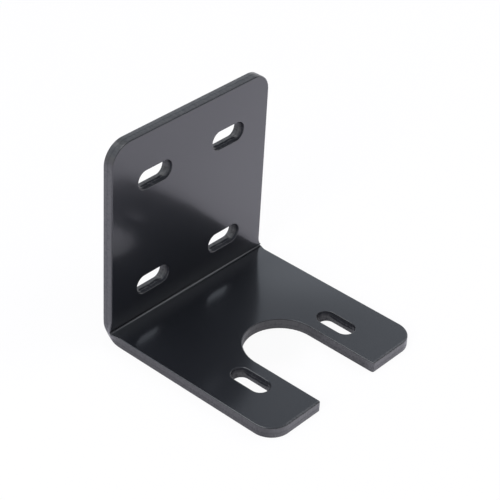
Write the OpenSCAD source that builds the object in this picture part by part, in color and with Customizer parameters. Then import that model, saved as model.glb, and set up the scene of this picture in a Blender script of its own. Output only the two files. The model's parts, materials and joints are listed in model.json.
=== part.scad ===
// Motor mounting bracket: one steel plate, cut with slots and an open notch, then folded to a right angle.
// The wall flange stands at the back and bolts to a frame. The foot flange reaches forward and carries the motor.
// +Z is up and +Y points into the wall. The origin is at the middle of the outline, on the floor.

/* [Plate] */
// Thickness of the plate
plate_t = 6; // [4:0.5:7]
// Width of the plate along the fold
plate_w = 112; // [104:1:160]
// Height of the wall flange over the outer faces
wall_h = 115.2; // [106:0.1:180]
// Depth of the foot flange over the outer faces
foot_d = 115; // [100:0.5:180]
// Radius of the two top corners of the wall flange
wall_corner_r = 12; // [3:0.5:18]
// Radius of the two front corners of the foot flange
foot_corner_r = 11.5; // [3:0.5:14]

/* [Fold] */
// Radius left inside the fold by the nose of the punch
fold_inner_r = 1; // [0.5:0.1:3]
// Radius outside the fold, where the plate is drawn thin
fold_outer_r = 9.5; // [7.5:0.1:12]
// How far the squeezed inside of the fold swells out of each end face
fold_swell = 1.4; // [0.4:0.1:2]
// How far the swelling runs along each flange
fold_swell_reach = 8; // [6:0.5:12]
// How far the stretched outside of the fold draws in from each end face
fold_pinch = 0.8; // [0.2:0.1:1.4]

/* [Slots] */
// Width of every slot, for a 10 mm bolt
slot_w = 10.5; // [7:0.1:13]
// Length of a wall slot over its round ends
wall_slot_len = 23; // [16:0.1:32]
// Length of a foot slot over its round ends
foot_slot_len = 22.6; // [16:0.1:40]

/* [Wall slot pattern] */
// Distance between the two columns of wall slots
wall_slot_pitch_x = 52.8; // [36:0.1:66]
// Distance between the two rows of wall slots
wall_slot_pitch_z = 63.1; // [40:0.1:70]
// Height of the lower row above the floor
wall_slot_low_z = 25.2; // [22:0.1:32]

/* [Foot slots and notch] */
// Distance between the two foot slots
foot_slot_pitch = 65.9; // [58:0.1:80]
// Distance of the foot slots' centres from the front edge
foot_slot_setback = 35; // [20:0.5:70]
// Width of the notch that clears the motor's boss and shaft
notch_w = 41.1; // [20:0.1:48]
// Distance of the notch's arc centre from the front edge
notch_setback = 42.4; // [26:0.1:70]

/* [Hidden] */
$fn = 96;
SIDES = [-1, 1];
// How far a cutting tool runs past a face, so that it cuts cleanly
run_out = 5;
back_y = foot_d / 2;
front_y = -foot_d / 2;
notch_r = notch_w / 2;
notch_y = front_y + notch_setback;
foot_slot_y = front_y + foot_slot_setback;
wall_rows = [wall_slot_low_z, wall_slot_low_z + wall_slot_pitch_z];
// The middle of the fold's outer arc, as its inset from the outer faces
fold_crown = fold_outer_r * (1 - cos(45));
// The plate's thickness across the fold, from the crown to the inner corner
fold_across = (plate_t - fold_crown) * sqrt(2);
// The end faces at the fold: a shallow dome, rolled over towards the crown
swell_dome_r = (fold_swell_reach ^ 2 + fold_swell ^ 2) / (2 * fold_swell);
roll_drop = fold_swell + fold_pinch;
roll_r = (fold_across ^ 2 + roll_drop ^ 2) / (2 * roll_drop);

// Section of the folded plate, with x forward from the wall's back face and y up from the floor.
module fold_section() {
    difference() {
        square([foot_d, wall_h]);
        difference() {
            square(fold_outer_r);
            translate([fold_outer_r, fold_outer_r]) circle(fold_outer_r);
        }
        translate([plate_t + fold_inner_r, plate_t]) square([foot_d, wall_h]);
        translate([plate_t, plate_t + fold_inner_r]) square([foot_d, wall_h]);
        translate([plate_t + fold_inner_r, plate_t + fold_inner_r]) circle(fold_inner_r);
    }
}

// The section drawn out along the fold.
module folded_strip(width) {
    translate([-width / 2, back_y, 0])
        rotate([90, 0, 90])
            mirror([1, 0, 0])
                linear_extrude(width) fold_section();
}

// Outline of a flange from the fold at y = 0 to its free edge, which has rounded corners.
module flange_outline(reach, corner_r) {
    translate([-plate_w / 2, 0]) square([plate_w, reach - corner_r]);
    translate([corner_r - plate_w / 2, 0]) square([plate_w - 2 * corner_r, reach]);
    for (side = SIDES)
        translate([side * (plate_w / 2 - corner_r), reach - corner_r]) circle(corner_r);
}

// The strip trimmed to the outline of each flange.
module folded_plate() {
    intersection() {
        folded_strip(plate_w);
        translate([0, back_y + run_out, 0])
            rotate([90, 0, 0])
                linear_extrude(foot_d + 2 * run_out) flange_outline(wall_h, wall_corner_r);
        translate([0, back_y, -run_out])
            mirror([0, 1, 0])
                linear_extrude(wall_h + 2 * run_out) flange_outline(foot_d, foot_corner_r);
    }
}

// The swelling at the right end of the fold, where the punch squeezes the inside of the plate outwards.
module fold_end_swell() {
    intersection() {
        folded_strip(plate_w + 2 * fold_swell + run_out);
        translate([plate_w / 2 + fold_swell - swell_dome_r, back_y - plate_t, plate_t])
            sphere(swell_dome_r);
    }
}

// The cut that rolls the right end of the fold over towards its stretched outside.
module fold_end_roll() {
    roll_len = 4 * fold_outer_r;
    translate([plate_w / 2 + fold_swell - roll_r, back_y - plate_t, plate_t])
        rotate([45, 0, 0])
            difference() {
                translate([0, -roll_len / 2, -fold_across - run_out])
                    cube([roll_r + run_out, roll_len, fold_across + run_out]);
                rotate([90, 0, 0]) cylinder(h = roll_len + run_out, r = roll_r, center = true);
            }
}

// What is made for the right end, and its mirror image at the left end.
module at_both_ends() {
    children();
    mirror([1, 0, 0]) children();
}

// A slot's cutter, standing on z = 0 and running along x.
module slot_cutter(length) {
    half_run = (length - slot_w) / 2;
    depth = plate_t + 2 * run_out;
    for (end = SIDES)
        translate([end * half_run, 0, 0]) cylinder(h = depth, d = slot_w);
    translate([-half_run, -slot_w / 2, 0]) cube([2 * half_run, slot_w, depth]);
}

module wall_slots() {
    for (side = SIDES, row_z = wall_rows)
        translate([side * wall_slot_pitch_x / 2, back_y + run_out, row_z])
            rotate([90, 0, 0]) slot_cutter(wall_slot_len);
}

module foot_slots() {
    for (side = SIDES)
        translate([side * foot_slot_pitch / 2, foot_slot_y, -run_out])
            rotate([0, 0, 90]) slot_cutter(foot_slot_len);
}

// The round-ended notch, open to the front edge of the foot.
module motor_notch() {
    depth = plate_t + 2 * run_out;
    translate([0, notch_y, -run_out]) cylinder(h = depth, r = notch_r);
    translate([-notch_r, front_y - run_out, -run_out])
        cube([notch_w, notch_setback + run_out, depth]);
}

module bracket() {
    color("#2a2b2e")
        difference() {
            union() {
                folded_plate();
                at_both_ends() fold_end_swell();
            }
            at_both_ends() fold_end_roll();
            wall_slots();
            foot_slots();
            motor_notch();
        }
}

bracket();
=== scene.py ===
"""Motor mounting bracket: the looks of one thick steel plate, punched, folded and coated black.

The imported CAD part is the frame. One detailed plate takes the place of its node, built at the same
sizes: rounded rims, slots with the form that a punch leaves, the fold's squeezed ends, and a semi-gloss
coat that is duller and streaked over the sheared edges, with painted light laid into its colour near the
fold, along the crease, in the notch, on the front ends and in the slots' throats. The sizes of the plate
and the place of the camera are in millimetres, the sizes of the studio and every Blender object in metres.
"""

import json
import logging
import math
from collections.abc import Callable, Mapping, Sequence
from dataclasses import dataclass, field
from enum import Enum

import bmesh
import bpy
from mathutils import Matrix, Vector, noise


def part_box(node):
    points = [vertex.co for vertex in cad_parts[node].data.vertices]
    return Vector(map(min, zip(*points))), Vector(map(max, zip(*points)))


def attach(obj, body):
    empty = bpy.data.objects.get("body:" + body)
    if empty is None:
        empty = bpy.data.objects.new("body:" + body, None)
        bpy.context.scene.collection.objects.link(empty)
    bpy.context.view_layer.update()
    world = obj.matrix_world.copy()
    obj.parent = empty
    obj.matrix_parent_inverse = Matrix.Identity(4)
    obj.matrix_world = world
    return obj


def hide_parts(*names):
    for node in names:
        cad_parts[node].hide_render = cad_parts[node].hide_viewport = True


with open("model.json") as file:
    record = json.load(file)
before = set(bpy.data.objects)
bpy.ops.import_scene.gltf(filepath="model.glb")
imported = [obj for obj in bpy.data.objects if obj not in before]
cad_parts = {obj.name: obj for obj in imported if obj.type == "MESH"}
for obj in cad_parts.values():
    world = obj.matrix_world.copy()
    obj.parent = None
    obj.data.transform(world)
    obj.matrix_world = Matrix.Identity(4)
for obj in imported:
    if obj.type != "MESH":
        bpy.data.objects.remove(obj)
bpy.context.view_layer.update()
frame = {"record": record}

NODE = "bracket"
BODY = "root"
MM = 0.001
# A corner this near to a face or an edge, in millimetres, counts as on it.
TOUCHING = 0.01
# Corners nearer to each other than this, in millimetres, are merged.
MERGE_GAP = 0.001
NOISE_MEAN = 0.5
LOG = logging.getLogger("bracket")

Colour = tuple[float, float, float, float]
Span = tuple[float, float]


class Pool(Enum):
    """The kinds of mesh element that can be selected."""

    VERTS = "VERT"
    EDGES = "EDGE"
    FACES = "FACE"


class Side(Enum):
    """The two ends of the fold, as signs of x."""

    LEFT = -1
    RIGHT = 1


def in_metres(*lengths: float) -> Vector:
    """Turns the x, y and z of a place or a move, in millimetres, into a vector in metres."""
    return Vector(lengths) * MM


def mount(name: str) -> dict:
    """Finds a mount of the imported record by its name."""
    return next(entry for entry in frame["record"]["mounts"] if entry["name"] == name)


def cosine_fade(distance: float, reach: float) -> float:
    """Fades from 1 at no distance to 0 at the reach, level at both ends."""
    share = min(max(distance / reach, 0.0), 1.0)
    return 0.5 + 0.5 * math.cos(math.pi * share)


def direction(azimuth: float, elevation: float) -> Vector:
    """Turns an azimuth, from -y towards +x, and an elevation, both in degrees, into a direction."""
    turn, climb = math.radians(azimuth), math.radians(elevation)
    return Vector((math.sin(turn) * math.cos(climb), -math.cos(turn) * math.cos(climb), math.sin(climb)))


class Workpiece:
    """One mesh object under the hand, shaped with Blender's own modelling tools."""

    def __init__(self, name: str) -> None:
        """Takes up the primitive that was just added, with its place moved into its mesh.

        Args:
            name: What the object and its mesh are called.
        """
        self.obj = bpy.context.object
        self.obj.name = name
        self.obj.data.name = name
        bpy.ops.object.transform_apply(location=True, rotation=True, scale=True)

    @classmethod
    def block(cls, name: str, low: Vector, high: Vector) -> "Workpiece":
        """Starts a piece from a cube between two corners.

        Args:
            name: What the piece is called.
            low: The lowest corner, in metres.
            high: The highest corner, in metres.

        Returns:
            The new workpiece.
        """
        bpy.ops.mesh.primitive_cube_add(size=1, location=(low + high) / 2, scale=high - low)
        return cls(name)

    @classmethod
    def sheet(cls, name: str, length: float, width: float) -> "Workpiece":
        """Starts a piece from a flat rectangle at the origin.

        Args:
            name: What the piece is called.
            length: Its size along x, in metres.
            width: Its size along y, in metres.

        Returns:
            The new workpiece.
        """
        bpy.ops.mesh.primitive_plane_add(size=1)
        bpy.context.object.scale = (length, width, 1)
        return cls(name)

    def take(self) -> None:
        """Makes this the active object and the only selected one."""
        bpy.ops.object.select_all(action="DESELECT")
        bpy.context.view_layer.objects.active = self.obj
        self.obj.select_set(True)

    def edit(self) -> None:
        """Opens the mesh in edit mode."""
        bpy.context.view_layer.objects.active = self.obj
        bpy.ops.object.mode_set(mode="EDIT")

    def close(self) -> None:
        """Leaves edit mode."""
        bpy.ops.object.mode_set(mode="OBJECT")

    def pick(self, pool: Pool, where: Callable[[Vector], bool], crease: float = 0.0) -> None:
        """Selects the elements whose corners all lie where a test holds.

        Args:
            pool: Whether vertices, edges or faces are selected.
            where: The test of a corner's place, in metres.
            crease: The least angle between an edge's two faces, in degrees, for edges alone.
        """
        bpy.ops.mesh.select_mode(type=pool.value)
        bpy.ops.mesh.select_all(action="DESELECT")
        mesh = bmesh.from_edit_mesh(self.obj.data)
        for element in {Pool.VERTS: mesh.verts, Pool.EDGES: mesh.edges, Pool.FACES: mesh.faces}[pool]:
            corners = [element] if pool is Pool.VERTS else element.verts
            chosen = all(where(corner.co) for corner in corners)
            if chosen and crease:
                chosen = element.calc_face_angle(0.0) >= math.radians(crease)
            element.select_set(chosen)
        mesh.select_flush_mode()
        bmesh.update_edit_mesh(self.obj.data)

    def extrude(self, move: Vector) -> None:
        """Extrudes the selected faces by a move in metres."""
        bpy.ops.mesh.extrude_region_move(TRANSFORM_OT_translate={"value": move})

    def pick_all(self) -> None:
        """Selects every face."""
        bpy.ops.mesh.select_mode(type="FACE")
        bpy.ops.mesh.select_all(action="SELECT")

    def round_over(self, pool: Pool, radius: float, segments: int) -> None:
        """Rounds the selected edges or corners.

        Args:
            pool: Whether edges or corners are rounded.
            radius: The radius, in metres.
            segments: How many faces the round has.
        """
        affect = "VERTICES" if pool is Pool.VERTS else "EDGES"
        bpy.ops.mesh.bevel(offset=radius, segments=segments, profile=0.5, affect=affect, clamp_overlap=False)

    def tidy(self, gap: float) -> None:
        """Merges doubled vertices and turns every face outwards.

        Args:
            gap: The distance below which vertices merge, in metres.
        """
        bpy.ops.mesh.select_all(action="SELECT")
        bpy.ops.mesh.remove_doubles(threshold=gap)
        bpy.ops.mesh.select_all(action="SELECT")
        bpy.ops.mesh.normals_make_consistent(inside=False)

    def shape(self, form: Callable[[Vector], Vector]) -> None:
        """Moves each vertex to the place that a form gives it, in metres."""
        for vertex in self.obj.data.vertices:
            vertex.co = form(vertex.co.copy())

    def apply(self, modifier: bpy.types.Modifier) -> None:
        """Applies a modifier.

        Args:
            modifier: The modifier, already set.
        """
        self.take()
        bpy.ops.object.modifier_apply(modifier=modifier.name)

    def cut(self, cutter: "Workpiece") -> None:
        """Cuts another workpiece's shape out of this one, and throws the cutter away.

        Args:
            cutter: A closed mesh.
        """
        modifier = self.obj.modifiers.new("cut", "BOOLEAN")
        modifier.operation = "DIFFERENCE"
        modifier.solver = "EXACT"
        modifier.object = cutter.obj
        self.apply(modifier)
        bpy.data.objects.remove(cutter.obj)


@dataclass(frozen=True)
class Corner:
    """A rounded inside or outside of the fold, seen along the fold."""

    face_y: float
    face_z: float
    radius: float

    def depth(self, place: Vector) -> float:
        """How far a point lies behind this surface of the plate.

        Args:
            place: The point, in millimetres.

        Returns:
            The distance towards the wall and the floor, negative on the near side.
        """
        back = max(place.y - self.face_y + self.radius, 0.0)
        down = max(self.face_z + self.radius - place.z, 0.0)
        return math.hypot(back, down) - self.radius


@dataclass(frozen=True)
class FoldEnd:
    """How the plate is squeezed out and drawn in at one end of the fold."""

    side: Side
    swell: float
    swell_reach: float
    pinch: float
    pinch_reach: float


@dataclass(frozen=True)
class Ring:
    """One level of a hole's wall: its depth below the face, its offset outwards and how ragged it is."""

    depth: float
    offset: float
    ragged: float = 0.0


@dataclass(frozen=True)
class PunchedForm:
    """The wall of a hole as the punch leaves it: a rounded mouth, a torn zone with a ledge, and a throat."""

    mouth_round: float = 0.5
    mouth_steps: int = 6
    zones: tuple[Ring, ...] = (
        Ring(0.5, 0.0),
        Ring(2.0, -0.01, 0.15),
        Ring(2.4, -0.05, 0.15),
        Ring(3.5, -0.07, 0.35),
        Ring(3.9, -0.17, 0.35),
    )
    fillet: float = 0.07
    exit_round: float = 0.25
    exit_steps: int = 3
    over: float = 1.0

    def rings(self, thickness: float) -> list[Ring]:
        """Works out the wall's profile.

        Args:
            thickness: The plate's thickness.

        Returns:
            The levels from above the mouth's face to beyond the exit's face.
        """
        mouth, throat = self.zones[0], self.zones[-1]
        exit_depth = thickness - self.exit_round
        rings = []
        for turn in reversed(self.turns(self.mouth_steps)):
            out = self.mouth_round * (1 - math.cos(turn))
            rings.append(Ring(mouth.depth * (1 - math.sin(turn)), mouth.offset + out))
        rings.insert(0, self.beyond(rings[1], rings[0], -self.over))
        rings.append(mouth)
        knots = (*self.zones, Ring(exit_depth, throat.offset))
        for before, knot, after in zip(knots, knots[1:], knots[2:]):
            rings.append(self.short_of(knot, before))
            rings.append(self.short_of(knot, after))
        rings.append(knots[-1])
        for turn in self.turns(self.exit_steps):
            out = self.exit_round * (1 - math.cos(turn))
            rings.append(Ring(exit_depth + self.exit_round * math.sin(turn), throat.offset + out))
        rings.append(self.beyond(rings[-2], rings[-1], thickness + self.over))
        return rings

    @staticmethod
    def turns(steps: int) -> list[float]:
        """Lists a round's turns, in radians, to half a step short of the face, where it would lie flat."""
        step = 0.5 * math.pi / (steps + 0.5)
        return [count * step for count in range(1, steps + 1)]

    def short_of(self, knot: Ring, neighbour: Ring) -> Ring:
        """Steps back from a bend of the wall towards its neighbour, so that the bend is a small fillet.

        Args:
            knot: The bend.
            neighbour: The bend before or after it.

        Returns:
            The level where the fillet meets the flat zone.
        """
        share = self.fillet / abs(neighbour.depth - knot.depth)
        return Ring(
            knot.depth + share * (neighbour.depth - knot.depth),
            knot.offset + share * (neighbour.offset - knot.offset),
            knot.ragged,
        )

    @staticmethod
    def beyond(before: Ring, last: Ring, depth: float) -> Ring:
        """Runs the wall's last two levels on to a depth, so that the cutter crosses the face cleanly."""
        slope = (last.offset - before.offset) / (last.depth - before.depth)
        return Ring(depth, last.offset + slope * (depth - last.depth))


@dataclass(frozen=True)
class Slot:
    """A round-ended slot: its outline, and where it lies."""

    name: str
    place: Vector
    length: float
    width: float
    turn: Matrix
    punched: PunchedForm = PunchedForm()
    arc_segments: int = 32
    side_cuts: int = 23
    end_draw: float = 0.6
    ragged_length: float = 2.2
    depth_digits: int = 4

    def cutter(self, thickness: float) -> Workpiece:
        """Makes the tool that cuts the slot.

        Args:
            thickness: The plate's thickness, in millimetres.

        Returns:
            The cutter, in place, standing in the entry face and running into the plate.
        """
        cutter = Workpiece.sheet(self.name, self.length * MM, self.width * MM)
        rings = self.punched.rings(thickness)
        cutter.edit()
        cutter.pick(Pool.VERTS, lambda corner: True)
        cutter.round_over(Pool.VERTS, self.width / 2 * MM, self.arc_segments)
        cutter.pick_all()
        bpy.ops.mesh.remove_doubles(threshold=TOUCHING * MM)
        side = (self.width / 2 - MERGE_GAP) * MM
        cutter.pick(Pool.EDGES, lambda corner: abs(corner.y) > side)
        bpy.ops.mesh.subdivide(number_cuts=self.side_cuts)
        cutter.pick_all()
        bpy.ops.transform.translate(value=in_metres(0, 0, -rings[0].depth))
        for upper, lower in zip(rings, rings[1:]):
            cutter.extrude(in_metres(0, 0, upper.depth - lower.depth))
        cutter.tidy(MERGE_GAP * MM)
        cutter.close()
        levels = {round(ring.depth, self.depth_digits): ring for ring in rings}
        run = (self.length - self.width) / 2 * MM

        def flared(point: Vector) -> Vector:
            """Moves a point of the straight cutter out to the punched wall, where torn edges wander."""
            ring = levels[round(-point.z / MM, self.depth_digits)]
            middle = Vector((max(-run, min(run, point.x)), 0, point.z))
            outwards = point - middle
            grown = outwards.length + ring.offset * MM
            wander = noise.noise(point / MM / self.ragged_length + self.place)
            drawn = self.end_draw * ring.depth / thickness * outwards.x / outwards.length
            return middle + outwards.normalized() * grown + in_metres(-drawn, 0, ring.ragged * wander)

        cutter.shape(flared)
        cutter.obj.data.transform(Matrix.Translation(self.place * MM) @ self.turn)
        return cutter


@dataclass
class BracketPlate:
    """The folded plate, with its slots and notch, modelled from its driving sizes."""

    width: float = 112.0
    wall_corners: Span = (12.0, 10.8)
    foot_corner: float = 11.5
    inner_radius: float = 0.65
    outer_radius: float = 9.5
    fold_steps: int = 40
    strips: int = 5
    near_fold: tuple[float, ...] = (0.8, 1.6, 2.6, 3.8, 5.2, 7.0, 8.8)
    front_rim: float = 0.65
    back_rim: float = 0.35
    prong_corner: float = 1.1
    rim_segments: int = 4
    prong_segments: int = 6
    corner_segments: int = 24
    notch_segments: int = 144
    overrun: float = 3.0
    prong_crease: float = 60.0
    rim_crease: float = 50.0
    smooth_below: float = 35.0
    fold_ends: tuple[FoldEnd, ...] = (
        FoldEnd(Side.LEFT, swell=1.35, swell_reach=9.0, pinch=0.95, pinch_reach=13.0),
        FoldEnd(Side.RIGHT, swell=1.27, swell_reach=5.0, pinch=0.95, pinch_reach=13.0),
    )
    piece: Workpiece = field(init=False)

    def __post_init__(self) -> None:
        """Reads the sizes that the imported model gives."""
        low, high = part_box(NODE)
        self.back = high.y / MM
        self.front = low.y / MM
        self.top = high.z / MM
        self.thickness = mount("motor_seat")["pos_m"][2] / MM
        self.half = self.width / 2
        self.wall_front = self.back - self.thickness
        self.inside = Corner(self.wall_front, self.thickness, self.inner_radius)
        self.outside = Corner(self.back, 0.0, self.outer_radius)

    def build(self) -> bpy.types.Object:
        """Models the whole plate.

        Returns:
            The finished object, at the origin.
        """
        self.fold_blank()
        self.seat_fold()
        self.round_corners()
        self.open_notch()
        self.squeeze_ends()
        self.round_rims()
        for slot in self.slots():
            self.piece.cut(slot.cutter(self.thickness))
        self.smooth()
        return self.piece.obj

    def fold_blank(self) -> None:
        """Draws the wall down to the fold, spins it through the fold and draws the foot out."""
        crown = self.outer_radius
        reach = max(self.near_fold)
        low = in_metres(-self.half, self.wall_front, crown + reach)
        high = in_metres(self.half, self.back, self.top)
        self.piece = Workpiece.block("bracket_plate", low, high)
        self.piece.edit()
        for strip in range(1, self.strips):
            depth = self.wall_front + self.thickness * strip / self.strips
            bpy.ops.mesh.select_all(action="SELECT")
            bpy.ops.mesh.bisect(plane_co=in_metres(0, depth, 0), plane_no=(0, 1, 0))
        foot = low.z + TOUCHING * MM
        self.piece.pick(Pool.FACES, lambda corner: corner.z < foot)
        steps = (0.0, *self.near_fold)
        for near, far in zip(reversed(steps), reversed(steps[:-1])):
            self.piece.extrude(in_metres(0, 0, far - near))
        centre = in_metres(0, self.back - crown, crown)
        bpy.ops.mesh.spin(steps=self.fold_steps, angle=math.pi / 2, center=centre, axis=(1, 0, 0))
        for near, far in zip(steps, steps[1:]):
            self.piece.extrude(in_metres(0, near - far, 0))
        straight = self.back - crown - reach - self.front
        self.piece.extrude(in_metres(0, -straight, 0))
        self.piece.tidy(MERGE_GAP * MM)
        self.piece.close()

    def seat_fold(self) -> None:
        """Draws the spun fold in to the sharp inside corner that the punch's nose leaves."""
        crown = self.outer_radius
        centre = Vector((0, self.back - crown, crown))
        spun_inside = crown - self.thickness
        nose = self.inside.radius
        nose_away = (spun_inside - nose) * math.sqrt(2)

        def seated(point: Vector) -> Vector:
            """Moves one point of the fold along its own ray from the fold's middle."""
            ray = point / MM - centre
            ray.x = 0
            if ray.y <= 0 or ray.z >= 0:
                return point
            turn = math.atan2(-ray.z, ray.y)
            slant = turn - math.pi / 4
            inner = spun_inside / max(math.cos(turn), math.sin(turn))
            off_nose = nose_away * math.sin(slant)
            if abs(off_nose) < nose:
                on_nose = nose_away * math.cos(slant) + math.sqrt(nose**2 - off_nose**2)
                inner = min(inner, on_nose)
            share = (ray.length - spun_inside) / self.thickness
            length = inner + share * (crown - inner)
            placed = centre + ray.normalized() * length
            return Vector((point.x, placed.y * MM, placed.z * MM))

        self.piece.shape(seated)

    def round_corners(self) -> None:
        """Rounds the wall's two top corners and the foot's two front corners."""
        outer = (self.half - TOUCHING) * MM
        top = (self.top - TOUCHING) * MM
        front = (self.front + TOUCHING) * MM
        self.piece.edit()
        for side, wall_corner in zip(Side, self.wall_corners):
            self.piece.pick(Pool.EDGES, lambda corner: corner.x * side.value > outer and corner.z > top)
            self.piece.round_over(Pool.EDGES, wall_corner * MM, self.corner_segments)
            self.piece.pick(Pool.EDGES, lambda corner: corner.x * side.value > outer and corner.y < front)
            self.piece.round_over(Pool.EDGES, self.foot_corner * MM, self.corner_segments)
        self.piece.close()

    def open_notch(self) -> None:
        """Cuts the round-ended notch into the foot's front edge, and rounds its two prong corners."""
        notch = mount("motor_notch")
        centre_y = notch["pos_m"][1]
        radius = notch["dims"]["r_mm"] * MM
        past = self.overrun * MM
        bpy.ops.mesh.primitive_circle_add(
            vertices=self.notch_segments,
            radius=radius,
            fill_type="NGON",
            location=(0, centre_y, -past),
        )
        cutter = Workpiece("notch_cutter")
        cutter.edit()
        bpy.ops.mesh.select_all(action="SELECT")
        bpy.ops.mesh.bisect(plane_co=(0, centre_y, 0), plane_no=(0, 1, 0), clear_inner=True)
        mouth = centre_y + TOUCHING * MM
        cutter.pick(Pool.EDGES, lambda corner: corner.y < mouth)
        run = self.front * MM - past - centre_y
        bpy.ops.mesh.extrude_edges_move(TRANSFORM_OT_translate={"value": (0, run, 0)})
        cutter.pick_all()
        cutter.extrude(Vector((0, 0, self.thickness * MM + 2 * past)))
        cutter.tidy(MERGE_GAP * MM)
        cutter.close()
        self.piece.cut(cutter)
        front = (self.front + TOUCHING) * MM
        beside = radius + TOUCHING * MM
        self.piece.edit()
        self.piece.pick(
            Pool.EDGES, lambda corner: abs(corner.x) < beside and corner.y < front, self.prong_crease
        )
        self.piece.round_over(Pool.EDGES, self.prong_corner * MM, self.prong_segments)
        self.piece.close()

    def squeeze_ends(self) -> None:
        """Swells the inside of each fold end outwards and draws its outside in."""
        by_side = {end.side: end for end in self.fold_ends}

        def squeezed(point: Vector) -> Vector:
            """Moves one point of an end face along the fold."""
            place = point / MM
            if abs(place.x) < self.half - TOUCHING:
                return point
            end = by_side[Side.LEFT if place.x < 0 else Side.RIGHT]
            inner = max(self.inside.depth(place), 0.0)
            outer = max(-self.outside.depth(place), 0.0)
            share = inner / (inner + outer)
            along = abs((place.z - self.thickness) - (self.wall_front - place.y))
            swell = end.swell * (1 - share) * cosine_fade(along, end.swell_reach)
            pinch = end.pinch * share * cosine_fade(along, end.pinch_reach)
            return point + Vector(((swell - pinch) * end.side.value * MM, 0, 0))

        self.piece.shape(squeezed)

    def round_rims(self) -> None:
        """Rounds the rims of the outline, more on the face that the punch entered than on the other."""
        self.piece.edit()
        for face, radius in ((self.inside, self.front_rim), (self.outside, self.back_rim)):
            self.piece.pick(
                Pool.EDGES, lambda corner: abs(face.depth(corner / MM)) < 2 * TOUCHING, self.rim_crease
            )
            self.piece.round_over(Pool.EDGES, radius * MM, self.rim_segments)
        self.piece.close()

    def slots(self) -> list[Slot]:
        """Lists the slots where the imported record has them.

        Returns:
            The four wall slots and the two foot slots.
        """
        wall, foot = mount("wall_slots"), mount("foot_slots")
        into_wall = Matrix.Rotation(math.pi / 2, 4, "X")
        along_foot = Matrix.Rotation(math.pi / 2, 4, "Z")
        found = []
        for column in (-0.5, 0.5):
            x = column * wall["dims"]["spacing_x_mm"]
            for row in (-0.5, 0.5):
                z = wall["pos_m"][2] / MM + row * wall["dims"]["spacing_y_mm"]
                found.append((Vector((x, self.wall_front, z)), wall["dims"], into_wall))
            x = column * foot["dims"]["spacing_x_mm"]
            found.append((Vector((x, foot["pos_m"][1] / MM, self.thickness)), foot["dims"], along_foot))
        return [
            Slot(f"slot_{count}", place, dims["slot_length_mm"], 2 * dims["hole_r_mm"], turn)
            for count, (place, dims, turn) in enumerate(found)
        ]

    def smooth(self) -> None:
        """Merges what the cuts doubled, and shades the flat faces flat and the rounds round."""
        self.piece.edit()
        self.piece.tidy(2 * MERGE_GAP * MM)
        self.piece.close()
        self.piece.take()
        bpy.ops.object.shade_smooth_by_angle(angle=math.radians(self.smooth_below))
        modifier = self.piece.obj.modifiers.new("even_normals", "WEIGHTED_NORMAL")
        modifier.keep_sharp = True
        modifier.weight = 100
        self.piece.apply(modifier)


class Wire:
    """A number on its way between shader nodes. Python's operators on it add Math nodes."""

    def __init__(self, bench: "NodeBench", socket: bpy.types.NodeSocket) -> None:
        """Holds an output socket.

        Args:
            bench: The node tree that the socket is in.
            socket: The output that the number comes from.
        """
        self.bench = bench
        self.socket = socket

    def math(self, operation: str, *others: "Wire | float") -> "Wire":
        """Adds a Math node with this wire as its first value, and the others after it."""
        sockets = dict(enumerate((self, *others)))
        return self.bench.add("ShaderNodeMath", {"operation": operation}, sockets)

    def __add__(self, other: "Wire | float") -> "Wire":
        """Adds a number or a wire."""
        return self.math("ADD", other)

    __radd__ = __add__

    def __sub__(self, other: "Wire | float") -> "Wire":
        """Takes a number or a wire away."""
        return self.math("SUBTRACT", other)

    def __rsub__(self, other: float) -> "Wire":
        """Takes this wire away from a number."""
        return (self * -1.0) + other

    def __mul__(self, other: "Wire | float") -> "Wire":
        """Multiplies by a number or a wire."""
        return self.math("MULTIPLY", other)

    __rmul__ = __mul__

    def __truediv__(self, other: "Wire | float") -> "Wire":
        """Divides by a number or a wire."""
        return self.math("DIVIDE", other)

    def at_least(self, other: "Wire | float") -> "Wire":
        """Returns the larger of the two."""
        return self.math("MAXIMUM", other)

    def rise(self, low: float, high: float, line: float = 0.0) -> "Wire":
        """Rises smoothly from 0 to 1 between two values.

        Args:
            low: Where the rise starts.
            high: Where it ends.
            line: What both are measured from.

        Returns:
            The share, from 0 to 1.
        """
        return self.bench.add(
            "ShaderNodeMapRange",
            {"interpolation_type": "SMOOTHSTEP"},
            {"Value": self, "From Min": line + low, "From Max": line + high},
        )


class NodeBench:
    """A shader node tree and the one way to add a node to it."""

    def __init__(self, tree: bpy.types.NodeTree) -> None:
        """Empties the tree.

        Args:
            tree: The node tree of a material or of the world.
        """
        self.tree = tree
        self.tree.nodes.clear()

    def add(
        self,
        kind: str,
        settings: Mapping[str, object] | None = None,
        sockets: Mapping[str | int, object] | None = None,
        output: str | int = 0,
    ) -> Wire | None:
        """Adds a node.

        Args:
            kind: The node's type.
            settings: Its own settings, which are set before its sockets.
            sockets: The value or the wire of each input that isn't left at its default.
            output: Which output the result comes from.

        Returns:
            The output, or None for a node without one.
        """
        node = self.tree.nodes.new(kind)
        for name, value in (settings or {}).items():
            setattr(node, name, value)
        for name, value in (sockets or {}).items():
            if isinstance(value, Wire):
                self.tree.links.new(value.socket, node.inputs[name])
            else:
                node.inputs[name].default_value = value
        return Wire(self, node.outputs[output]) if len(node.outputs) else None

    def blend(self, share: Wire, low: Wire | Sequence[float], high: Wire | Sequence[float]) -> Wire:
        """Mixes two colours.

        Args:
            share: How much of the second colour there is.
            low: The first colour, as red, green, blue and alpha or as a wire.
            high: The second colour.

        Returns:
            The mixed colour.
        """
        return self.add("ShaderNodeMix", {"data_type": "RGBA"}, {0: share, 6: low, 7: high}, 2)

    def noise(self, place: Wire, width: float) -> Wire:
        """Draws noise at a place, NOISE_MEAN on average, with clouds of a width in millimetres."""
        sockets = {"Vector": place, "Scale": 1 / width, "Detail": 3.0, "Roughness": 0.6}
        return self.add("ShaderNodeTexNoise", sockets=sockets)


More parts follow.
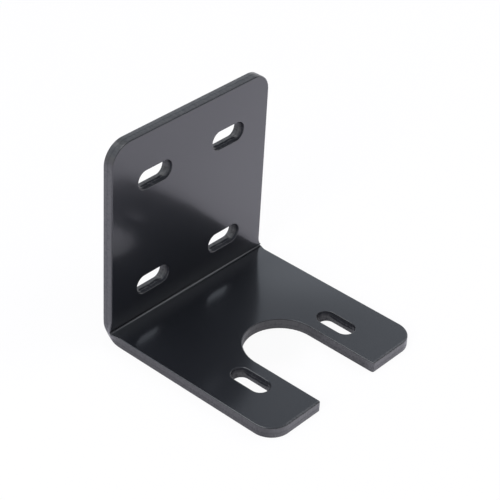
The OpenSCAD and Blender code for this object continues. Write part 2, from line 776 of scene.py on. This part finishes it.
@dataclass(frozen=True)
class Swelling:
    """One of the slight swellings that the punched and folded sheet keeps on its faces."""

    across: float
    along: float
    reach: float
    height: float

    def at(self, across: Wire, along: Wire) -> Wire:
        """Draws its height at a point's x and its z on the wall, or its y on the foot."""
        aside, above = across - self.across, along - self.along
        return ((aside * aside + above * above) * (-0.5 / self.reach**2)).math("EXPONENT") * self.height


class CoatPoint:
    """The shaded point of the plate: where it lies, and the noise that streaks the coat there."""

    INSIDE_RIM: Span = (0.05, 0.5)
    OUTSIDE_RIM: Span = (0.1, 0.5)
    FACE_RIM: Span = (0.2, 0.5)
    CREASE_HIGHLIGHT: Span = (0.25, 0.8)
    FOLD_TURN: Span = (-3.0, 3.0)
    STRETCH = 0.6
    WANDER_WIDTHS = 4.0
    SLOT_END: Span = (6.0, 9.0)
    MARGIN: Span = (6.0, 9.0)
    NOTCH_MARGIN: Span = (1.0, 3.0)
    NOTCH_END: Span = (-4.0, 8.0)

    def __init__(self, bench: NodeBench, plate: BracketPlate, grain_width: float) -> None:
        """Works out the point's place, its depth behind either surface and its noise.

        Args:
            bench: The coat's node tree.
            plate: The plate.
            grain_width: How wide the grain of the sheared edges is, in millimetres.
        """
        self.plate = plate
        spot = bench.add("ShaderNodeTexCoord", output="Object")
        self.place = bench.add("ShaderNodeVectorMath", {"operation": "SCALE"}, {0: spot, "Scale": 1 / MM})
        self.x, self.y, self.z = (
            bench.add("ShaderNodeSeparateXYZ", sockets={0: self.place}, output=axis) for axis in "XYZ"
        )
        self.inner = self.depth(plate.inside)
        self.outer = self.depth(plate.outside) * -1.0
        self.cut = self.inner.rise(*self.INSIDE_RIM) * self.outer.rise(*self.OUTSIDE_RIM)
        self.face = 1.0 - self.inner.rise(*self.FACE_RIM)
        past_fold = self.y + self.z - (plate.wall_front + plate.thickness)
        self.wall = past_fold.rise(*self.FOLD_TURN)
        # The noise is stretched through the plate's thickness: along y on the wall, and along z on the foot.
        along = bench.add(
            "ShaderNodeCombineXYZ",
            sockets={
                "X": self.x,
                "Y": self.y * (1.0 - self.STRETCH * self.wall),
                "Z": self.z * ((1.0 - self.STRETCH) + self.STRETCH * self.wall),
            },
        )
        self.grain = bench.noise(along, grain_width)
        self.wander = bench.noise(along, self.WANDER_WIDTHS * grain_width)

    def depth(self, corner: Corner) -> Wire:
        """Works out how far the point lies behind one surface of the plate.

        Args:
            corner: The surface.

        Returns:
            The depth, in millimetres.
        """
        back = (self.y - (corner.face_y - corner.radius)).at_least(0.0)
        down = (corner.face_z + corner.radius - self.z).at_least(0.0)
        return (back * back + down * down).math("SQRT") - corner.radius

    def crease(self) -> Wire:
        """Tells the fold's sharp inside corner from the faces, for the painted highlight along it.

        Returns:
            1 in the corner and 0 elsewhere.
        """
        near, far = self.CREASE_HIGHLIGHT
        past_foot = self.y.rise(-far, -near, self.plate.wall_front)
        below_wall = 1.0 - self.z.rise(near, far, self.plate.thickness)
        return past_foot * below_wall * self.face

    def past_straight(self) -> Wire:
        """Tells the slots' round ends from their straight walls.

        Returns:
            1 at the tips of the round ends and 0 along the straight walls.
        """
        column = mount("wall_slots")["dims"]["spacing_x_mm"] / 2
        row = mount("foot_slots")["pos_m"][1] / MM
        on_wall = (self.x.math("ABSOLUTE") - column).math("ABSOLUTE")
        on_foot = (self.y - row).math("ABSOLUTE")
        return (on_wall * self.wall + on_foot * (1.0 - self.wall)).rise(*self.SLOT_END)

    def among_slots(self) -> Wire:
        """Tells the slots' walls from the outer edges and the notch.

        Returns:
            1 in the middle of either flange, where its slots are.
        """
        aside = self.x.math("ABSOLUTE")
        near, far = self.MARGIN
        off_sides = 1.0 - aside.rise(-far, -near, self.plate.half)
        off_top = 1.0 - self.z.rise(-far, -near, self.plate.top)
        off_front = self.y.rise(near, far, self.plate.front)
        off_notch = aside.rise(*self.NOTCH_MARGIN, mount("motor_notch")["dims"]["r_mm"])
        return off_sides * off_top * off_front * self.wall.at_least(off_notch)

    def round_notch(self) -> Wire:
        """Tells the notch's round end, where the coat gets painted light, from the foot's other edges.

        Returns:
            1 along the notch's round end.
        """
        notch = mount("motor_notch")
        beside = self.x.math("ABSOLUTE").rise(*self.NOTCH_MARGIN, notch["dims"]["r_mm"])
        behind = self.y.rise(*self.NOTCH_END, notch["pos_m"][1] / MM)
        return (1.0 - self.wall) * (1.0 - beside) * behind


@dataclass(frozen=True)
class BlackCoat:
    """The semi-gloss black coat: even over the faces, a little duller and streaked over the sheared edges,
    with painted light near the fold, on the crease, in the notch, on the front ends and in the slots'
    throats.
    """

    colour: Colour = (0.0068, 0.0079, 0.0112, 1.0)
    edge_colour: Colour = (0.012, 0.0122, 0.0138, 1.0)
    # Painted light near the fold: the faces are coloured lighter within about 13 mm of it.
    fold_light_colour: Colour = (0.021, 0.0225, 0.0265, 1.0)
    fold_light_reach: Span = (0.5, 13.0)
    # Painted highlight: a lighter colour along the fold's inside corner.
    crease_highlight_colour: Colour = (0.072, 0.075, 0.084, 1.0)
    # Painted light: a lighter colour for the notch's round end, as if it mirrored a brighter floor.
    notch_light_colour: Colour = (0.04, 0.04, 0.042, 1.0)
    # Painted light on the front: a lighter colour for the front end faces, their rims and the nearby cut
    # edges, in patches that follow the grain.
    front_light_colour: Colour = (0.05, 0.051, 0.055, 1.0)
    gloss_roughness: float = 0.145
    edge_roughness: float = 0.32
    gloss_index: float = 1.68
    haze_roughness: float = 0.42
    haze_index: float = 1.28
    uneven: float = 0.04
    uneven_width: float = 14.0
    grain_width: float = 1.1
    grain_depth: float = 0.12
    shelf_share: float = 0.56
    shelf_edge: Span = (-0.03, 0.03)
    shelf_depth: float = 0.06
    edge_dullness: float = 0.03
    seam_wander: float = 0.25
    seam_dullness: float = 0.16
    seam_width: Span = (0.03, 0.13)
    top_reach: Span = (-6.0, -2.0)
    top_dullness: float = 0.22
    front_light_rim: Span = (0.9, 1.7)
    front_light_reach: Span = (1.5, 6.0)
    front_light_grain: Span = (0.3, 0.6)
    speckle: float = 1.0
    slot_speckle: float = 1.6
    ragged_wander: float = 1.6
    ragged_grain: float = 0.8
    torn_start: Span = (0.03, 0.2)
    torn_end: Span = (3.4, 4.0)
    torn_colour: Colour = (0.024, 0.025, 0.03, 1.0)
    torn_roughness: float = 0.8
    torn_index: float = 1.1
    ledge_depth: float = 2.3
    ledge_reach: Span = (0.1, 0.4)
    ledge_gloss: float = 0.4
    end_reach: Span = (1.0, 1.6)
    end_shift: float = 1.1
    end_gloss: float = 0.62
    # The throat's colour: lighter as a rougher zone, and lighter still as a painted reflection of the bright
    # floor.
    throat_light_colour: Colour = (0.085, 0.085, 0.087, 1.0)
    throat_dullness: float = 0.35
    wall_swellings: tuple[Swelling, ...] = (
        Swelling(across=21.0, along=86.0, reach=35.0, height=1.1),
        Swelling(across=-56.0, along=50.0, reach=26.0, height=0.8),
    )
    foot_swellings: tuple[Swelling, ...] = (Swelling(across=40.0, along=2.0, reach=22.0, height=1.2),)

    def material(self, plate: BracketPlate) -> bpy.types.Material:
        """Builds the coat's nodes.

        Args:
            plate: The plate whose surfaces the coat follows.

        Returns:
            The material.
        """
        made = bpy.data.materials.new("black_coat_finish")
        made.use_nodes = True
        bench = NodeBench(made.node_tree)
        point = CoatPoint(bench, plate, self.grain_width)
        share = point.inner / (point.inner + point.outer)
        past_seam = share + (point.wander - NOISE_MEAN) * self.seam_wander - self.shelf_share
        shelf = past_seam.rise(*self.shelf_edge)
        relief = self.relief(point, shelf)
        bump = bench.add("ShaderNodeBump", sockets={"Strength": 1.0, "Distance": MM, "Height": relief})
        punched = point.cut * point.among_slots()
        torn, throat = self.slot_walls(point, punched)
        torn = torn + self.sheared_edges(point, point.cut - punched, past_seam, shelf)
        patches = bench.noise(point.place, self.uneven_width)
        roughness = self.gloss_roughness + point.cut * (self.edge_roughness - self.gloss_roughness)
        glossy = bench.add(
            "ShaderNodeBsdfPrincipled",
            sockets={
                # Painted reflection: the slots' throats are coloured lighter, partly as a rougher zone.
                "Base Color": bench.blend(throat, self.tint(bench, point), self.throat_light_colour),
                "Roughness": roughness + (patches - NOISE_MEAN) * self.uneven,
                "IOR": self.gloss_index,
                "Coat Weight": 1.0,
                "Coat Roughness": self.haze_roughness,
                "Coat IOR": self.haze_index,
                "Normal": bump,
            },
        )
        dull = bench.add(
            "ShaderNodeBsdfPrincipled",
            sockets={
                "Base Color": self.torn_colour,
                "Roughness": self.torn_roughness,
                "IOR": self.torn_index,
                "Normal": bump,
            },
        )
        mixed = bench.add("ShaderNodeMixShader", sockets={0: torn, 1: glossy, 2: dull})
        bench.add("ShaderNodeOutputMaterial", sockets={"Surface": mixed})
        return made

    def relief(self, point: CoatPoint, shelf: Wire) -> Wire:
        """Draws the grain of the sheared edges and the slight swellings of the faces.

        Args:
            point: The shaded point.
            shelf: 1 on the part of an edge behind its seam and 0 before it.

        Returns:
            The height, in millimetres.
        """
        edge = point.cut * ((point.grain - NOISE_MEAN) * self.grain_depth + shelf * self.shelf_depth)
        on_wall = sum(swelling.at(point.x, point.z) for swelling in self.wall_swellings)
        on_foot = sum(swelling.at(point.x, point.y) for swelling in self.foot_swellings)
        return edge + (1.0 - point.cut) * (on_wall * point.wall + on_foot * (1.0 - point.wall))

    def slot_walls(self, point: CoatPoint, punched: Wire) -> tuple[Wire, Wire]:
        """Draws the bands of the slots' walls: torn with a ledge, and then the throat.

        Args:
            point: The shaded point.
            punched: 1 on the slots' walls and 0 elsewhere.

        Returns:
            How dull the walls are, and where the throat is.
        """
        grain = point.grain - NOISE_MEAN
        ragged = point.inner + (point.wander - NOISE_MEAN) * self.ragged_wander + grain * self.ragged_grain
        end = point.past_straight()
        throat = punched * (ragged + end * self.end_shift).rise(*self.torn_end)
        ledge = 1.0 - (ragged - self.ledge_depth).math("ABSOLUTE").rise(*self.ledge_reach)
        torn = (punched * point.inner.rise(*self.torn_start) - throat) * (1.0 - ledge * self.ledge_gloss)
        torn = torn * (1.0 - end * ragged.rise(*self.end_reach) * self.end_gloss)
        torn = torn + punched * grain * self.slot_speckle
        return torn.at_least(0.0) + throat * self.throat_dullness, throat

    def sheared_edges(self, point: CoatPoint, edge: Wire, past_seam: Wire, shelf: Wire) -> Wire:
        """Draws the seam and the specks of the outline's and the notch's edges.

        Args:
            point: The shaded point.
            edge: 1 on these edges and 0 elsewhere.
            past_seam: How far the point is past the seam, as a share of the thickness.
            shelf: 1 behind the seam and 0 before it.

        Returns:
            How dull the edges are.
        """
        seam = 1.0 - past_seam.math("ABSOLUTE").rise(*self.seam_width)
        top_front = point.z.rise(*self.top_reach, point.plate.top) * (1.0 - shelf)
        specks = (point.grain - NOISE_MEAN) * self.speckle
        dulled = seam * self.seam_dullness + top_front * self.top_dullness + specks
        return (edge * (dulled + self.edge_dullness)).at_least(0.0)

    def tint(self, bench: NodeBench, point: CoatPoint) -> Wire:
        """Colours the coat everywhere but in the slots' throats, with painted light near the fold, a painted
        highlight along the crease, and painted light in the notch's round end and on the front ends.

        Args:
            bench: The coat's node tree.
            point: The shaded point.

        Returns:
            The colour.
        """
        plate = point.plate
        from_fold = (point.z - plate.thickness).at_least(plate.wall_front - point.y)
        # Painted light: the faces are coloured lighter towards the fold.
        fold_light = (1.0 - from_fold.rise(*self.fold_light_reach)) * point.face
        colour = bench.blend(fold_light, self.colour, self.fold_light_colour)
        colour = bench.blend(point.cut, colour, self.edge_colour)
        # Painted light: the notch's round end is coloured lighter.
        colour = bench.blend(point.cut * point.round_notch(), colour, self.notch_light_colour)
        # Painted highlight: the fold's inside corner is coloured lighter.
        colour = bench.blend(point.crease(), colour, self.crease_highlight_colour)
        # Painted light: the front end faces, their rims and the cut edges near the front are coloured
        # lighter, in patches that follow the grain.
        front_rim = 1.0 - point.y.rise(*self.front_light_rim, plate.front)
        front_light = front_rim.at_least(point.cut * (1.0 - point.y.rise(*self.front_light_reach, plate.front)))
        return bench.blend(front_light * point.grain.rise(*self.front_light_grain), colour, self.front_light_colour)


@dataclass(frozen=True)
class SoftLamp:
    """A square soft lamp that looks at the bracket, and may be kept out of the coat's reflections."""

    name: str
    azimuth: float
    elevation: float
    size: float
    radiance: float
    distance: float = 1.5
    mirrored: bool = True

    def light(self) -> None:
        """Hangs the lamp."""
        away = direction(self.azimuth, self.elevation)
        bpy.ops.object.light_add(type="AREA", location=away * self.distance)
        lamp = bpy.context.object
        lamp.name = self.name
        lamp.rotation_euler = away.to_track_quat("Z", "Y").to_euler()
        lamp.data.size = self.size
        lamp.data.energy = self.radiance * math.pi * self.size**2
        lamp.visible_glossy = self.mirrored


@dataclass(frozen=True)
class PhotographView:
    """Where the photograph was taken from, measured on its edges."""

    azimuth: float = -49.986
    elevation: float = 35.085
    roll: float = 3.468
    distance: float = 911.9
    aside: float = 37.42
    above: float = 22.31
    picture_width: int = 500
    focal_pixels: float = 1719.51
    sensor: float = 36.0

    def place(self, plate: BracketPlate) -> None:
        """Sets the camera up.

        Args:
            plate: The plate, whose back edge the view was measured from.
        """
        turn = math.radians(self.azimuth)
        tilt = math.radians(self.roll)
        back = direction(self.azimuth, self.elevation)
        level = Vector((math.cos(turn), math.sin(turn), 0))
        upright = back.cross(level)
        right = level * math.cos(tilt) + upright * math.sin(tilt)
        up = upright * math.cos(tilt) - level * math.sin(tilt)
        measured_from = Vector((0, plate.back, 0))
        spot = measured_from + right * self.aside + up * self.above + back * self.distance
        data = bpy.data.cameras.new("photograph_view")
        data.sensor_width = self.sensor
        data.lens = self.focal_pixels / self.picture_width * self.sensor
        camera = bpy.data.objects.new("photograph_view", data)
        bpy.context.scene.collection.objects.link(camera)
        rotation = Matrix((right, up, back)).transposed().to_4x4()
        camera.matrix_world = Matrix.Translation(spot * MM) @ rotation
        bpy.context.scene.camera = camera


@dataclass(frozen=True)
class Studio:
    """The white floor, the white surroundings and the soft lamps."""

    surroundings_level: float = 0.8
    floor_width: float = 12.0
    floor_height: float = -0.00002
    floor_colour: Colour = (0.875, 0.85, 0.93, 1.0)
    # A painted shade on the floor: darker towards a spot under the notch, for the coat to mirror; its colour,
    # its middle and its reach in metres.
    shaded_colour: Colour = (0.52, 0.51, 0.55, 1.0)
    shaded_spot: tuple[float, float, float] = (0.0, -0.006, 0.0)
    shaded_reach: Span = (0.008, 0.028)
    shadow_share: float = 0.08
    ceiling_height: float = 2.4
    ceiling_width: float = 6.0
    ceiling_edge: float = -0.6
    ceiling_colour: Colour = (0.67, 0.72, 0.80, 1.0)
    dark_colour: Colour = (0.15, 0.15, 0.16, 1.0)
    graded_along: tuple[float, float, float] = (0.766, 0.643, 0.0)
    graded_reach: Span = (2.5, 4.3)
    graded_level: Span = (0.62, 1.25)
    lifted_reach: Span = (-1.4, -0.2)
    lifted_level: float = 0.9
    lamps: tuple[SoftLamp, ...] = (
        SoftLamp("top_lamp", azimuth=-160.0, elevation=70.0, size=0.7, radiance=2.8),
        SoftLamp("left_lamp", azimuth=-80.0, elevation=33.0, size=0.5, radiance=12.0, mirrored=False),
        SoftLamp("right_lamp", azimuth=70.0, elevation=40.0, size=0.9, radiance=2.5, mirrored=False),
    )

    def build(self) -> None:
        """Lays the floor, sets the world and hangs the ceiling and the lamps."""
        self.floor()
        self.ceiling()
        self.world()
        for lamp in self.lamps:
            lamp.light()

    def floor(self) -> None:
        """Lays a white floor that keeps the bracket's shadow, with a painted shade under the notch."""
        bpy.ops.mesh.primitive_plane_add(size=self.floor_width, location=(0, 0, self.floor_height))
        floor = Workpiece("floor").obj
        made = bpy.data.materials.new("white_floor")
        made.use_nodes = True
        bench = NodeBench(made.node_tree)
        spot = bench.add("ShaderNodeTexCoord", output="Object")
        away = bench.add(
            "ShaderNodeVectorMath", {"operation": "DISTANCE"}, {0: spot, 1: self.shaded_spot}, "Value"
        )
        # Painted shade: the floor's colour darkens towards the spot under the notch.
        colour = bench.blend(away.rise(*self.shaded_reach), self.shaded_colour, self.floor_colour)
        glow = self.seen_directly(bench) * (1.0 - self.shadow_share)
        lit = bench.add("ShaderNodeBsdfDiffuse", sockets={"Color": colour})
        white = bench.add("ShaderNodeEmission", sockets={"Color": (1, 1, 1, 1), "Strength": 1.0})
        mixed = bench.add("ShaderNodeMixShader", sockets={0: glow, 1: lit, 2: white})
        bench.add("ShaderNodeOutputMaterial", sockets={"Surface": mixed})
        floor.data.materials.append(made)

    @staticmethod
    def seen_directly(bench: NodeBench) -> Wire:
        """Gives 1 for a ray from the camera, straight or through glass, and 0 for any other."""
        straight = bench.add("ShaderNodeLightPath", output="Is Camera Ray")
        return straight.at_least(bench.add("ShaderNodeLightPath", output="Is Transmission Ray"))

    def ceiling(self) -> None:
        """Hangs a wide pale ceiling over the back and a dark one over the front, for the coat to mirror."""
        edge, width = self.ceiling_edge, self.ceiling_width
        self.panel(
            "pale_ceiling", edge, edge + width, self.ceiling_colour, self.graded_level, self.lifted_level
        )
        dark = self.panel("dark_ceiling", edge - width, edge, self.dark_colour, (1.0, 1.0), 0.0)
        dark.visible_diffuse = False

    def panel(
        self, name: str, near: float, far: float, colour: Colour, level: Span, lifted: float
    ) -> bpy.types.Object:
        """Hangs one part of the ceiling, which the camera doesn't see.

        Args:
            name: What the panel is called.
            near: Its edge towards the front, in metres.
            far: Its edge towards the back, in metres.
            colour: What it gives off.
            level: How strongly, near the bracket and far away at the back.
            lifted: How much stronger it is mirrored on its left side.

        Returns:
            The panel.
        """
        bpy.ops.mesh.primitive_plane_add(size=1, location=(0, (near + far) / 2, self.ceiling_height))
        bpy.context.object.scale = (2 * self.ceiling_width, far - near, 1)
        hung = Workpiece(name).obj
        made = bpy.data.materials.new(name)
        made.use_nodes = True
        bench = NodeBench(made.node_tree)
        spot = bench.add("ShaderNodeTexCoord", output="Object")
        away = bench.add(
            "ShaderNodeVectorMath", {"operation": "DOT_PRODUCT"}, {0: spot, 1: self.graded_along}, "Value"
        )
        strength = level[0] + away.rise(*self.graded_reach) * (level[1] - level[0])
        mirrored = bench.add("ShaderNodeLightPath", output="Is Glossy Ray")
        strength = strength + mirrored * (away * -1.0).rise(*self.lifted_reach) * lifted
        glow = bench.add("ShaderNodeEmission", sockets={"Color": colour, "Strength": strength})
        bench.add("ShaderNodeOutputMaterial", sockets={"Surface": glow})
        hung.data.materials.append(made)
        hung.visible_camera = False
        return hung

    def world(self) -> None:
        """Makes the surroundings white."""
        world = bpy.data.worlds.new("white_surroundings")
        world.use_nodes = True
        bench = NodeBench(world.node_tree)
        mirrored = bench.add("ShaderNodeLightPath", output="Is Glossy Ray")
        white = self.seen_directly(bench).at_least(mirrored)
        strength = self.surroundings_level + white * (1.0 - self.surroundings_level)
        glow = bench.add("ShaderNodeBackground", sockets={"Color": (1, 1, 1, 1), "Strength": strength})
        bench.add("ShaderNodeOutputWorld", sockets={"Surface": glow})
        bpy.context.scene.world = world


def main() -> None:
    """Builds the bracket, dresses it, and sets up the studio and the camera."""
    logging.basicConfig(level=logging.INFO, format="%(name)s: %(message)s")
    plate = BracketPlate()
    piece = plate.build()
    piece.data.materials.clear()
    piece.data.materials.append(BlackCoat().material(plate))
    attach(piece, BODY)
    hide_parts(NODE)
    LOG.info("%s has %d faces", piece.name, len(piece.data.polygons))
    Studio().build()
    PhotographView().place(plate)
    bpy.context.scene.view_settings.view_transform = "Standard"


if __name__ == "__main__":
    main()
